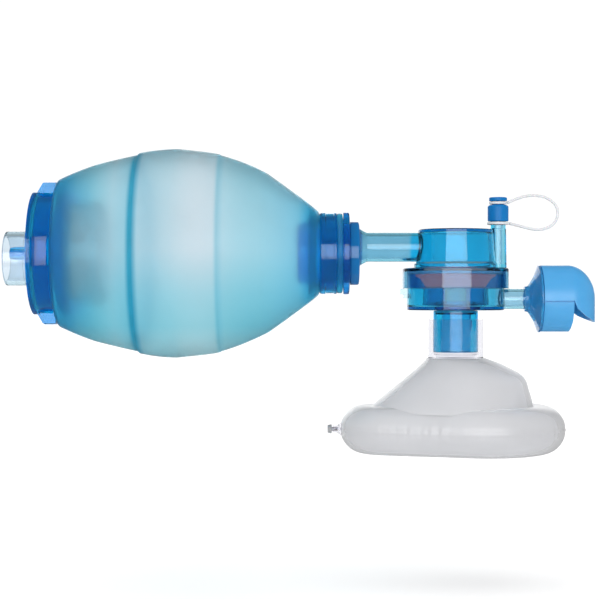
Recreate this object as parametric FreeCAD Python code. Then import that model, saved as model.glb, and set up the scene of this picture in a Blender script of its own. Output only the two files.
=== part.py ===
import FreeCAD, Part
import math
import os

# Bag valve mask: a self-inflating bag with its intake valve, a patient valve and an air-cushion face mask.
# Units are millimetres. The patient connector's axis is Z and its mouth is the origin; the bag lies along -X.

V = FreeCAD.Vector
X_DIR = V(1, 0, 0)
Z_DIR = V(0, 0, 1)
GAP = 0.05            # radial clearance between parts that push or swivel together
PLAY = 0.3            # axial clearance beside a part that turns or slides

# ---- driving dimensions -------------------------------------------------------------------------------
CONE_22 = 11.0        # outer radius of the 22 mm patient connector
SOCKET_15 = 7.5       # bore radius of the 15 mm patient connector
PORT_30 = 15.0        # outer radius of the 30 mm exhaust port
BAG_Z = 48.3          # height of the bag's axis
TUBE_Z = 51.3         # height of the valve's inlet tube, a little above the bag's axis
EXHAUST_Z = 26.0      # height of the exhaust port's axis
RESERVOIR_DROP = 2.5  # the reservoir port sits this far below the bag's axis

# bag
BAG_WALL = 1.8
BAG_REAR_X = -193.6
BAG_REAR_R = 36.0
BAND_REAR_X = -155.0
BAND_FRONT_X = -115.5
BAND_R = 51.0         # radius of the bag at the middle of its grip band
BAG_FRONT_X = -67.0
BAG_FRONT_R = 21.2
REAR_NECK_R = 28.2
REAR_NECK_BORE = 26.6
REAR_NECK_X = -202.9
FRONT_NECK_R = 18.5
FRONT_NECK_BORE = 17.1
FRONT_NECK_X = -55.4

# rear fittings
CAP_EDGE_X = -206.0   # rim of the domed rear cap
CAP_EDGE_R = 30.0
CAP_DOME = 3.6
CAP_FLANGE_X = -204.2
REAR_FLARE_X = -188.6
REAR_FLARE_R = 31.0
COLLAR_R = 30.0
LUG_R = 34.9
LUG_WIDTH = 14.0
LUG_X = -203.6
RESERVOIR_X = -220.0  # open end of the reservoir port
RESERVOIR_R = 13.3
RESERVOIR_BORE = 11.0
RESERVOIR_STEM_R = 12.7  # where the port passes through the cap
RESERVOIR_FLANGE_X = -206.5
NIPPLE_X = -218.0
NIPPLE_R = 3.2
CUP_R = 24.95         # intake valve cup inside the bag
CUP_X = -172.2
SEAT_X = -186.2       # front face of the intake valve's seat plate
INTAKE_FLAP_R = 22.3

# neck
NECK_COLLAR_X = -66.5
NECK_COLLAR_R = 19.9
ADAPTER_BORE = 14.8
ADAPTER_FLARE_X = -72.4
ADAPTER_FLARE_R = 21.3
SLEEVE_X = -77.8      # inner end of the neck adapter's sleeve, past its flare
SLEEVE_R = 15.2
SLEEVE_BORE = 13.4
FLANGE_X = -55.2      # rear face of the neck adapter's end flange
FLANGE_R = 20.1
FLANGE_T = 3.0
SWIVEL_X = -51.8      # rear face of the swivel disc on the valve's inlet
SWIVEL_R = 15.5
SWIVEL_T = 4.4

# patient valve
TUBE_R = 7.1
TUBE_BORE = 5.7
CHAMBER_TOP_Z = 60.0
CHAMBER_TOP_R = 18.2
CHAMBER_FOOT_R = 19.5
CHAMBER_WALL = 1.6
SKIRT_R = 26.0
SKIRT_TOP_Z = 41.0
SKIRT_FOOT_Z = 31.1
PLATE_T = 1.4
BASE_R = 23.9
BASE_WALL = 1.7
BASE_FOOT_Z = 20.5
BASE_TOP_Z = 38.1
SEAT_R = 15.7         # exhalation seat ring that the duckbill's dish closes
SEAT_TOP_Z = 31.6
PORT_X = 20.8         # pressure port beside the chamber
PORT_R = 3.7
PORT_BORE = 2.1
PORT_TOP_Z = 69.8
DUCKBILL_R = 19.6
DUCKBILL_TOP_Z = 38.2
BILL_R = 5.2
LIPS_Z = 24.2
INNER_TUBE_R = 6.9    # patient tube that rises to just under the duckbill
INNER_TUBE_BORE = 5.8
INNER_TUBE_TOP_Z = 30.4
DUCT_R = 4.9
DUCT_END_X = 35.6
FLARE_X = 40.2        # rear face of the exhaust port's rim
FLARE_RIM_R = 16.4
PORT_END_X = 54.0

# exhaust deflector
HOOD_X = 41.4
HOOD_R = 16.4         # upper half; the lower half is HOOD_STEP less
HOOD_STEP = 0.4
GROOVE_WIDTH = 0.6    # groove along the hood's parting line
GROOVE_DEPTH = 0.9
HOOD_END_X = 55.6
BEND_X = 54.6         # where the upper half starts to curve over
PARTING_Z = 25.1      # lower edge of the upper half
HOOD_BORE = 15.08     # running fit on the 30 mm port
BEAK_X = 67.9
BEAK_TIP_Z = 14.6

# pressure port cap and its tether
CAP_R = 5.1
CAP_FOOT_Z = 64.0
CAP_TOP_Z = 72.0
CAP_NECK_R = 3.0
CAP_DISC_R = 4.4
CAP_DISC_Z = 73.9
CAP_END_Z = 75.8
TETHER_R = 0.7
TETHER_RING_TOP_Z = 73.0
TETHER_RING_FOOT_Z = 63.0

# mask
MASK_COLLAR_R = 13.5
MASK_COLLAR_TOP_Z = 16.0
MASK_COLLAR_FOOT_Z = -3.0
DOME_WALL = 1.6
DOME_FOOT_Z = -25.4
CUSHION_R = 12.0      # section radius of the air cushion
CUSHION_Z = -37.6
NOSE_X = -29.6        # centre and radius of the cushion's narrow end
NOSE_R = 15.0
CHIN_X = 12.7         # centre and radius of the cushion's wide end
CHIN_R = 29.0
NOZZLE_R = 1.8
NOZZLE_X = -60.4


# ---- shape helpers ------------------------------------------------------------------------------------
def rounded_wire(corners, place):
    """Closed wire through (along, out, rounding) corners; place turns (along, out) into a 3-D point."""
    count = len(corners)
    starts, ends, mids = [], [], []
    for i, corner in enumerate(corners):
        here = V(corner[0], corner[1], 0)
        rounding = corner[2] if len(corner) > 2 else 0.0
        before = V(*corners[i - 1][:2], 0) - here
        after = V(*corners[(i + 1) % count][:2], 0) - here
        if rounding <= 0:
            starts.append(here)
            ends.append(here)
            mids.append(None)
            continue
        before.normalize()
        after.normalize()
        half = before.getAngle(after) / 2
        reach = rounding / math.tan(half)
        middle = (before + after).normalize()
        centre = here + middle * (rounding / math.sin(half))
        starts.append(here + before * reach)
        ends.append(here + after * reach)
        mids.append(centre - middle * rounding)
    edges = []
    for i in range(count):
        if mids[i] is not None:
            arc = [place(p.x, p.y) for p in (starts[i], mids[i], ends[i])]
            edges.append(Part.Arc(*arc).toShape())
        a, b = ends[i], starts[(i + 1) % count]
        run = V(*corners[(i + 1) % count][:2], 0) - V(*corners[i][:2], 0)
        if run.dot(b - a) < -1e-6:
            raise ValueError("roundings overlap after corner %d of %s" % (i, corners))
        if (b - a).Length > 1e-6:
            edges.append(Part.makeLine(place(a.x, a.y), place(b.x, b.y)))
    return Part.Wire(edges)


def turn(wire, point, direction):
    return Part.Face(wire).revolve(point, direction, 360)


def lathe_x(corners, z=BAG_Z, y=0.0):
    """Solid turned about the X direction at height z, from (x, radius, rounding) corners."""
    wire = rounded_wire(corners, lambda x, r: V(x, y, z + r))
    return turn(wire, V(0, y, z), X_DIR)


def lathe_z(corners, x=0.0):
    """Solid turned about the vertical through x, from (radius, z, rounding) corners."""
    wire = rounded_wire(corners, lambda r, z: V(x + r, 0, z))
    return turn(wire, V(x, 0, 0), Z_DIR)


def rod_x(radius, x0, x1, z=BAG_Z, y=0.0):
    return Part.makeCylinder(radius, x1 - x0, V(x0, y, z), X_DIR)


def rod_z(radius, z0, z1, x=0.0, y=0.0):
    return Part.makeCylinder(radius, z1 - z0, V(x, y, z0), Z_DIR)


def box(x0, x1, y0, y1, z0, z1):
    return Part.makeBox(x1 - x0, y1 - y0, z1 - z0, V(x0, y0, z0))


def arc_edge(a, mid, b):
    return Part.Arc(*[V(x, 0, BAG_Z + r) for x, r in (a, mid, b)]).toShape()


def line_edge(a, b):
    return Part.makeLine(V(a[0], 0, BAG_Z + a[1]), V(b[0], 0, BAG_Z + b[1]))


def fuse(first, *rest):
    return first.multiFuse(list(rest)).removeSplitter()


# ---- bag and its rear fittings ------------------------------------------------------------------------
def bag_shell():
    """Moulded bag: a thin shell with a raised grip band, a rear neck, and a front neck with an end bead."""
    band_r = BAND_R - 2.1
    w = BAG_WALL
    band_mid_x = (BAND_REAR_X + BAND_FRONT_X) / 2
    rear_join = (BAND_REAR_X - 1.2, band_r - 0.8)
    front_join = (BAND_FRONT_X + 0.5, band_r - 0.9)
    shoulder = (BAG_REAR_X - 1.0, BAG_REAR_R - 1.2)
    rear_mid = (-175.0, 43.4)
    front_mid = (-90.9, 38.3)
    outer = [
        line_edge((REAR_NECK_X, REAR_NECK_R), (shoulder[0], REAR_NECK_R)),
        line_edge((shoulder[0], REAR_NECK_R), shoulder),
        line_edge(shoulder, (BAG_REAR_X, BAG_REAR_R)),
        arc_edge((BAG_REAR_X, BAG_REAR_R), rear_mid, rear_join),
        line_edge(rear_join, (BAND_REAR_X - 0.4, band_r - 1.2)),
        line_edge((BAND_REAR_X - 0.4, band_r - 1.2), (BAND_REAR_X + 0.3, band_r)),
        arc_edge((BAND_REAR_X + 0.3, band_r), (band_mid_x, BAND_R), (BAND_FRONT_X, band_r + 0.1)),
        line_edge((BAND_FRONT_X, band_r + 0.1), front_join),
        arc_edge(front_join, front_mid, (BAG_FRONT_X, BAG_FRONT_R)),
        line_edge((BAG_FRONT_X, BAG_FRONT_R), (BAG_FRONT_X + 0.2, FRONT_NECK_R)),
        line_edge((BAG_FRONT_X + 0.2, FRONT_NECK_R), (FRONT_NECK_X - 2.8, FRONT_NECK_R)),
        line_edge((FRONT_NECK_X - 2.8, FRONT_NECK_R), (FRONT_NECK_X - 2.8, NECK_COLLAR_R - 0.4)),
        line_edge((FRONT_NECK_X - 2.8, NECK_COLLAR_R - 0.4), (FRONT_NECK_X, NECK_COLLAR_R - 0.4)),
        line_edge((FRONT_NECK_X, NECK_COLLAR_R - 0.4), (FRONT_NECK_X, FRONT_NECK_BORE)),
    ]
    neck_root = (BAG_FRONT_X + 1.6, FRONT_NECK_BORE)
    inner_front = (BAG_FRONT_X - 0.6, BAG_FRONT_R - w)
    inner_front_join = (front_join[0], front_join[1] - w)
    inner_rear_join = (rear_join[0], rear_join[1] - w)
    inner_rear = (BAG_REAR_X + 0.6, BAG_REAR_R - w - 0.6)
    inner = [
        line_edge((FRONT_NECK_X, FRONT_NECK_BORE), neck_root),
        line_edge(neck_root, inner_front),
        arc_edge(inner_front, (front_mid[0] - 0.9, front_mid[1] - w), inner_front_join),
        arc_edge(inner_front_join, (band_mid_x, BAND_R - w), inner_rear_join),
        arc_edge(inner_rear_join, (rear_mid[0] + 0.5, rear_mid[1] - w), inner_rear),
        line_edge(inner_rear, (BAG_REAR_X + 0.6, REAR_NECK_BORE)),
        line_edge((BAG_REAR_X + 0.6, REAR_NECK_BORE), (REAR_NECK_X, REAR_NECK_BORE)),
        line_edge((REAR_NECK_X, REAR_NECK_BORE), (REAR_NECK_X, REAR_NECK_R)),
    ]
    return turn(Part.Wire(outer + inner), V(0, 0, BAG_Z), X_DIR)


def rear_collar():
    """Clamp ring over the bag's rear neck, with four grip lugs."""
    front_x = BAG_REAR_X - 1.3
    bore = REAR_NECK_R + GAP
    ring = lathe_x([
        (CAP_FLANGE_X + 0.1, bore), (CAP_FLANGE_X + 0.1, COLLAR_R, 0.3),
        (front_x, COLLAR_R, 0.4), (front_x, bore),
    ])
    lug_ring = lathe_x([
        (LUG_X, COLLAR_R - 1.0), (LUG_X, COLLAR_R + 0.6), (LUG_X + 2.6, LUG_R, 0.6),
        (front_x, LUG_R, 0.6), (front_x, COLLAR_R - 1.0),
    ])
    lugs = []
    for i in range(4):
        half = LUG_WIDTH / 2
        bar = box(LUG_X - 1, front_x + 1, -half, half, BAG_Z + COLLAR_R - 2, BAG_Z + LUG_R + 1)
        bar.rotate(V(0, 0, BAG_Z), X_DIR, i * 90)
        lugs.append(lug_ring.common(bar))
    return fuse(ring, *lugs)


def cap_outline():
    """Half section of the rear cap: domed face, edge, plug wall with its flare, and the flat inside."""
    plug = REAR_NECK_BORE - GAP
    centre_x = CAP_EDGE_X - CAP_DOME
    mid_r = CAP_EDGE_R / 2
    points = [
        (CAP_EDGE_X, CAP_EDGE_R), (CAP_FLANGE_X, CAP_EDGE_R), (CAP_FLANGE_X, plug), (BAG_REAR_X + 1.0, plug),
        (REAR_FLARE_X, REAR_FLARE_R), (REAR_FLARE_X + 0.9, REAR_FLARE_R - 1.2),
        (BAG_REAR_X + 1.6, plug - 1.5), (CAP_FLANGE_X, plug - 1.5),
        (CAP_EDGE_X - 0.6, 19.0), (CAP_EDGE_X - 0.6, 0), (centre_x, 0),
    ]
    edges = [line_edge(a, b) for a, b in zip(points, points[1:])]
    edges.append(arc_edge(points[-1], (centre_x + CAP_DOME * (mid_r / CAP_EDGE_R) ** 2, mid_r), points[0]))
    return Part.Wire(edges)


def rear_cap():
    """Domed end cap whose plug wall flares inside the bag, with the hole for the reservoir port."""
    cap = turn(cap_outline(), V(0, 0, BAG_Z), X_DIR)
    hole_z = BAG_Z - RESERVOIR_DROP
    return cap.cut(rod_x(RESERVOIR_STEM_R + GAP, CAP_EDGE_X - CAP_DOME - 1, CAP_FLANGE_X, hole_z))


def rear_gasket():
    back, front = CAP_FLANGE_X + 0.05, REAR_NECK_X - 0.05
    low, high = REAR_NECK_BORE + 0.1, REAR_NECK_R - 0.1
    return lathe_x([(back, low, 0.2), (back, high, 0.2), (front, high, 0.2), (front, low, 0.2)])


def reservoir_port():
    """Open tube that a reservoir bag or hose pushes onto, with the flange that holds it behind the cap."""
    step_x = CAP_EDGE_X - CAP_DOME - 0.3
    return lathe_x([
        (RESERVOIR_X, RESERVOIR_BORE, 0.5), (RESERVOIR_X, RESERVOIR_R, 0.7), (step_x, RESERVOIR_R),
        (step_x, RESERVOIR_STEM_R), (RESERVOIR_FLANGE_X, RESERVOIR_STEM_R),
        (RESERVOIR_FLANGE_X, RESERVOIR_R + 2.2, 0.3), (RESERVOIR_FLANGE_X + 1.5, RESERVOIR_R + 2.2, 0.3),
        (RESERVOIR_FLANGE_X + 1.5, RESERVOIR_BORE, 0.3),
    ], BAG_Z - RESERVOIR_DROP)


def oxygen_nipple():
    """Hose nipple in the middle of the reservoir port, on a bar across the port's flange."""
    bar_x = RESERVOIR_FLANGE_X + 1.5
    nipple = lathe_x([
        (NIPPLE_X, 1.5), (NIPPLE_X, NIPPLE_R - 0.5, 0.2), (NIPPLE_X + 2.2, NIPPLE_R, 0.2),
        (bar_x + 1.5, NIPPLE_R), (bar_x + 1.5, 1.5),
    ])
    bar = box(bar_x, bar_x + 1.5, -14.0, 14.0, BAG_Z - 3.4, BAG_Z + 3.4)
    return fuse(nipple, bar.cut(rod_x(1.5, bar_x - 1, bar_x + 3)))


def intake_valve_body():
    """Cup inside the rear cap's plug, with a spoked seat plate that the intake flap closes."""
    back_x = CAP_FLANGE_X + 1.2
    cup = lathe_x([
        (back_x, CUP_R - 1.6), (back_x, CUP_R, 0.3), (CUP_X, CUP_R, 0.7), (CUP_X, CUP_R - 1.6, 0.7),
    ])
    plate = rod_x(CUP_R - 0.8, SEAT_X - 1.8, SEAT_X)
    half_angle = math.tan(math.radians(24)) * 30
    wedge = Part.makePolygon([V(0, 0, 0), V(0, half_angle, 30), V(0, -half_angle, 30), V(0, 0, 0)])
    wedge = Part.Face(wedge).extrude(V(6, 0, 0))
    wedge.translate(V(SEAT_X - 4, 0, BAG_Z + 3.0))
    band = rod_x(19.6, SEAT_X - 3, SEAT_X + 1).cut(rod_x(5.2, SEAT_X - 4, SEAT_X + 2))
    windows = []
    for i in range(6):
        cutter = wedge.copy()
        cutter.rotate(V(0, 0, BAG_Z), X_DIR, i * 60)
        windows.append(band.common(cutter))
    plate = plate.cut(Part.makeCompound(windows)).cut(rod_x(1.6, SEAT_X - 4, SEAT_X + 2))
    return fuse(cup, plate)


def intake_flap():
    """Silicone disc that opens into the bag; its stem and bulb hold it in the seat plate's hub."""
    x = SEAT_X + PLAY
    bulb_x = SEAT_X - 1.8 - 2.4
    return lathe_x([
        (bulb_x - 2.6, 0), (bulb_x - 2.0, 1.3, 0.3), (bulb_x, 2.4, 0.5), (bulb_x, 1.5), (x, 1.5),
        (x, INTAKE_FLAP_R, 0.3), (x + 0.7, INTAKE_FLAP_R, 0.3), (x + 1.3, 6.0, 2.0), (x + 1.9, 0),
    ])


# ---- neck between bag and valve -----------------------------------------------------------------------
def neck_collar():
    """Clamp ring round the bag's front neck."""
    end_x = FRONT_NECK_X - 2.8 - 0.05
    ring = lathe_x([
        (NECK_COLLAR_X, FRONT_NECK_R + GAP), (NECK_COLLAR_X, NECK_COLLAR_R, 0.6),
        (NECK_COLLAR_X + 2.6, NECK_COLLAR_R), (NECK_COLLAR_X + 2.9, NECK_COLLAR_R - 0.35),
        (end_x - 1.6, NECK_COLLAR_R - 0.35), (end_x - 1.3, NECK_COLLAR_R),
        (end_x, NECK_COLLAR_R, 0.4), (end_x, FRONT_NECK_R + GAP),
    ])
    return ring


def neck_adapter():
    """Spigot inside the bag's neck, with a flare and a sleeve; the valve's inlet swivels in its bore."""
    r = FRONT_NECK_BORE - GAP
    flange_end = FLANGE_X + FLANGE_T
    ledge_x = BAG_FRONT_X + 1.6
    return lathe_x([
        (ADAPTER_FLARE_X, ADAPTER_FLARE_R - 1.7, 0.4), (ADAPTER_FLARE_X, ADAPTER_FLARE_R, 0.4),
        (BAG_FRONT_X - 0.9, 18.0, 1.5), (ledge_x, r, 1.0), (FLANGE_X, r), (FLANGE_X, FLANGE_R, 0.4),
        (flange_end, FLANGE_R, 0.5), (flange_end, ADAPTER_BORE, 0.3), (ledge_x, ADAPTER_BORE, 0.4),
        (ledge_x - 0.9, SLEEVE_BORE, 0.4), (SLEEVE_X, SLEEVE_BORE, 0.4), (SLEEVE_X, SLEEVE_R, 1.2),
        (BAG_FRONT_X - 1.6, SLEEVE_R + 0.2, 0.6),
    ])


def neck_seal():
    """O-ring in the groove of the valve's inlet spigot."""
    ring = Part.makeTorus(ADAPTER_BORE - 1.0, 0.85, V(-60.0, 0, BAG_Z), X_DIR)
    return ring


# ---- patient valve ------------------------------------------------------------------------------------
def inlet_outer():
    """Outside of the inlet: spigot with its O-ring groove, swivel disc, cone and tube."""
    spigot_r = ADAPTER_BORE - 0.08
    spigot = lathe_x([
        (-64.0, 0), (-64.0, spigot_r, 0.6), (-61.0, spigot_r), (-61.0, spigot_r - 1.8),
        (-59.0, spigot_r - 1.8), (-59.0, spigot_r), (SWIVEL_X, spigot_r), (SWIVEL_X, SWIVEL_R, 0.4),
        (SWIVEL_X + SWIVEL_T, SWIVEL_R, 0.7), (SWIVEL_X + SWIVEL_T, 0),
    ])
    cone_x = SWIVEL_X + SWIVEL_T
    tube = lathe_x([
        (cone_x - 0.5, 0), (cone_x - 0.5, 9.4), (cone_x, 9.3), (cone_x + 3.9, TUBE_R, 1.2),
        (-12.0, TUBE_R), (-12.0, 0),
    ], TUBE_Z)
    return spigot, tube


def inlet_bore():
    """Gas path of the inlet: a wide mouth that narrows into the tube."""
    mouth = lathe_x([
        (-65.0, 0), (-65.0, 12.1), (SWIVEL_X + 0.5, 12.1, 1.5), (SWIVEL_X + SWIVEL_T - 1.4, 9.0),
        (SWIVEL_X + SWIVEL_T - 1.4, 0),
    ])
    bore = lathe_x([
        (SWIVEL_X + 1.0, 0), (SWIVEL_X + 1.0, 7.9), (SWIVEL_X + SWIVEL_T, 7.7),
        (SWIVEL_X + SWIVEL_T + 3.6, TUBE_BORE, 1.2), (-10.0, TUBE_BORE), (-10.0, 0),
    ], TUBE_Z)
    return fuse(mouth, bore)


def valve_top():
    """Upper housing in one moulding: chamber, skirt, inlet with swivel disc, and pressure port."""
    chamber = lathe_z([
        (0, CHAMBER_TOP_Z), (CHAMBER_TOP_R, CHAMBER_TOP_Z, 0.6), (CHAMBER_FOOT_R, SKIRT_TOP_Z + 2.6, 0.8),
        (CHAMBER_FOOT_R + 1.0, SKIRT_TOP_Z + 2.2, 0.4), (CHAMBER_FOOT_R + 1.0, SKIRT_TOP_Z, 0.3),
        (SKIRT_R, SKIRT_TOP_Z, 0.6), (SKIRT_R, SKIRT_FOOT_Z, 0.3), (BASE_R + 0.15, SKIRT_FOOT_Z),
        (BASE_R + 0.15, SKIRT_TOP_Z - PLATE_T, 0.3), (0, SKIRT_TOP_Z - PLATE_T),
    ])
    wall = CHAMBER_WALL
    hollow = lathe_z([
        (0, CHAMBER_TOP_Z - wall), (CHAMBER_TOP_R - wall, CHAMBER_TOP_Z - wall, 1.0),
        (CHAMBER_FOOT_R - wall, SKIRT_TOP_Z + 0.4), (CHAMBER_FOOT_R - wall - 1.2, SKIRT_TOP_Z - PLATE_T - 1),
        (0, SKIRT_TOP_Z - PLATE_T - 1),
    ])
    port = lathe_z([
        (0, SKIRT_TOP_Z - 0.5), (PORT_R + 0.5, SKIRT_TOP_Z - 0.5), (PORT_R + 0.2, CHAMBER_TOP_Z, 0.4),
        (PORT_R, CHAMBER_TOP_Z + 0.6), (PORT_R, PORT_TOP_Z, 0.3), (0, PORT_TOP_Z),
    ], PORT_X)
    spigot, tube = inlet_outer()
    outer = fuse(chamber, port, tube, spigot)
    return outer.cut(hollow).cut(inlet_bore()).cut(port_bore())


def port_bore():
    """Bore of the pressure port, and the slot that opens it into the chamber."""
    return fuse(
        rod_z(PORT_BORE, SKIRT_TOP_Z + 2.0, PORT_TOP_Z + 1, PORT_X),
        box(PORT_X - 5.5, PORT_X, -0.9, 0.9, SKIRT_TOP_Z + 3.0, SKIRT_TOP_Z + 7.0),
    )


def housing_seal():
    z = BASE_TOP_Z + 0.05
    return lathe_z([
        (BASE_R - BASE_WALL - 0.3, z, 0.2), (BASE_R, z, 0.2), (BASE_R, SKIRT_TOP_Z - PLATE_T - 0.05, 0.2),
        (BASE_R - BASE_WALL - 0.3, SKIRT_TOP_Z - PLATE_T - 0.05, 0.2),
    ])


def duckbill_valve():
    """Silicone valve: a dish that closes the exhalation seat, and two lips that part for the breath."""
    top = DUCKBILL_TOP_Z
    dish = lathe_z([
        (0, top), (DUCKBILL_R, top, 0.3), (DUCKBILL_R, top - 0.9, 0.3), (17.4, top - 2.2, 2.0),
        (14.6, SEAT_TOP_Z + PLAY, 1.5), (9.0, SEAT_TOP_Z - 0.4, 1.0), (0, SEAT_TOP_Z - 0.4),
    ])
    hollow = lathe_z([
        (0, top + 1), (17.6, top + 1), (17.6, top - 0.8, 0.5), (13.6, SEAT_TOP_Z + 1.6, 2.0),
        (6.0, SEAT_TOP_Z + 0.7), (0, SEAT_TOP_Z + 0.7),
    ])
    lips = bill(BILL_R, 0.9, LIPS_Z, SEAT_TOP_Z - 0.2)
    throat = bill(BILL_R - 0.9, 0.25, LIPS_Z - 0.2, SEAT_TOP_Z + 0.8)
    return fuse(dish.cut(hollow), lips).cut(throat)


def bill(radius, half_slit, z0, z1):
    """Round body whose two flat sides close from its full width at z1 to a slit at z0."""
    corners = [(-radius, z1), (radius, z1), (half_slit, z0), (-half_slit, z0)]
    outline = [V(-radius, y, z) for y, z in corners]
    prism = Part.Face(Part.makePolygon(outline + outline[:1])).extrude(V(2 * radius, 0, 0))
    return rod_z(radius, z0, z1).common(prism)


def valve_base():
    """Lower housing: outer wall, floor, exhalation seat ring and the exhaust duct."""
    shell = lathe_z([
        (9.6, BASE_FOOT_Z), (BASE_R, BASE_FOOT_Z, 0.6), (BASE_R, BASE_TOP_Z, 0.3),
        (BASE_R - BASE_WALL, BASE_TOP_Z, 0.3), (BASE_R - BASE_WALL, BASE_FOOT_Z + 1.7, 1.0),
        (SEAT_R + 0.6, BASE_FOOT_Z + 1.7, 0.8), (SEAT_R, SEAT_TOP_Z, 0.4), (SEAT_R - 1.8, SEAT_TOP_Z, 0.4),
        (SEAT_R - 2.2, BASE_FOOT_Z + 1.7, 1.0), (9.6, BASE_FOOT_Z + 1.7),
    ])
    bore_r = DUCT_R - 1.2
    duct = rod_x(DUCT_R, BASE_R - 1.2, DUCT_END_X, EXHAUST_Z)
    return fuse(shell, duct).cut(rod_x(bore_r, BASE_R - 4.0, DUCT_END_X + 1, EXHAUST_Z))


def lock_clip():
    """Clear clip on the lower housing's wall that stops the skirt from backing off."""
    clip = box(-27.3, -20.0, -3.0, 3.0, 26.4, SKIRT_FOOT_Z - 0.1)
    nose = box(-28.0, -26.3, -4.0, 4.0, 25.0, 28.4)
    nose.rotate(V(-27.3, 0, 26.4), V(0, 1, 0), 35)
    return clip.cut(nose).cut(rod_z(BASE_R + GAP, 20, 34))


def patient_connector():
    """22 mm cone and 15 mm socket; it swivels in the lower housing's floor and rises to the duckbill."""
    return lathe_z([
        (SOCKET_15, 0), (CONE_22, 0, 0.5), (CONE_22, BASE_FOOT_Z - PLAY, 0.2),
        (10.6, BASE_FOOT_Z - PLAY), (10.6, BASE_FOOT_Z - 1.3), (9.7, BASE_FOOT_Z - 1.3),
        (9.7, BASE_FOOT_Z - PLAY), (9.6 - 0.08, BASE_FOOT_Z - PLAY), (9.6 - 0.08, BASE_FOOT_Z + 1.7 + 0.15),
        (10.5, BASE_FOOT_Z + 2.1, 0.2), (10.5, BASE_FOOT_Z + 2.9, 0.3), (9.4, BASE_FOOT_Z + 3.4, 0.3),
        (INNER_TUBE_R, BASE_FOOT_Z + 3.4, 0.5), (INNER_TUBE_R, INNER_TUBE_TOP_Z, 0.3),
        (INNER_TUBE_BORE, INNER_TUBE_TOP_Z, 0.3), (INNER_TUBE_BORE, BASE_FOOT_Z + 0.5),
        (6.8, 18.4), (6.8, 16.0), (SOCKET_15, 16.0),
    ])


def connector_seal():
    z = BASE_FOOT_Z - 1.3
    return lathe_z([
        (9.8, z + 0.05, 0.2), (10.5, z + 0.05, 0.2), (10.5, z + 1.1, 0.2), (9.8, z + 1.1, 0.2),
    ])


def exhaust_port():
    """Flare from the exhaust duct to the 30 mm port that the deflector turns on."""
    x0 = DUCT_END_X - 2.0
    wall = 1.5
    return lathe_x([
        (x0, DUCT_R + GAP), (x0, DUCT_R + 1.2, 0.3), (x0 + 1.6, DUCT_R + 1.4, 1.5), (x0 + 4.6, 11.2, 3.0),
        (FLARE_X, FLARE_RIM_R, 0.4), (FLARE_X + 0.9, FLARE_RIM_R, 0.3), (FLARE_X + 0.9, PORT_30),
        (PORT_END_X, PORT_30, 0.4), (PORT_END_X, PORT_30 - wall, 0.4), (FLARE_X + 1.6, PORT_30 - wall, 1.0),
        (x0 + 6.0, 10.2, 2.5), (DUCT_END_X + 0.1, DUCT_R + GAP),
    ], EXHAUST_Z)


def ellipse_arc(reach, r, sweep):
    """Edge at the deflector's axis height: an ellipse from (BEND_X, r) towards +X, through sweep."""
    ellipse = Part.Ellipse(V(BEND_X, r, EXHAUST_Z), V(BEND_X + reach, 0, EXHAUST_Z), V(BEND_X, 0, EXHAUST_Z))
    return Part.ArcOfEllipse(ellipse, 0, sweep).toShape()


def slab(outline):
    """Solid from an (x, z) outline, right across the deflector's width."""
    points = [V(x, -30, z) for x, z in outline]
    return Part.Face(Part.makePolygon(points + points[:1])).extrude(V(0, 60, 0))


def beak(inset):
    """Domed end of the deflector's upper half, and the skirt under it down to the slanted mouth."""
    r = HOOD_R - inset
    reach = BEAK_X - inset - BEND_X
    centre, tip = V(BEND_X, 0, EXHAUST_Z), V(BEND_X + reach, 0, EXHAUST_Z)
    side, far_side = V(BEND_X, r, EXHAUST_Z), V(BEND_X, -r, EXHAUST_Z)
    corner = [Part.makeLine(tip, centre), Part.makeLine(centre, side)]
    quarter = Part.Wire([ellipse_arc(reach, r, math.pi / 2)] + corner)
    dome = Part.Face(quarter).revolve(centre, X_DIR, 180)
    half = Part.Wire([ellipse_arc(reach, r, math.pi), Part.makeLine(far_side, side)])
    skirt = Part.Face(half).extrude(V(0, 0, BEAK_TIP_Z - EXHAUST_Z - 2))
    under = [(BEND_X - 1, PARTING_Z), (HOOD_END_X, PARTING_Z), (HOOD_END_X, -5), (BEND_X - 1, -5)]
    return dome, skirt.cut(slab(under))


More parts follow.
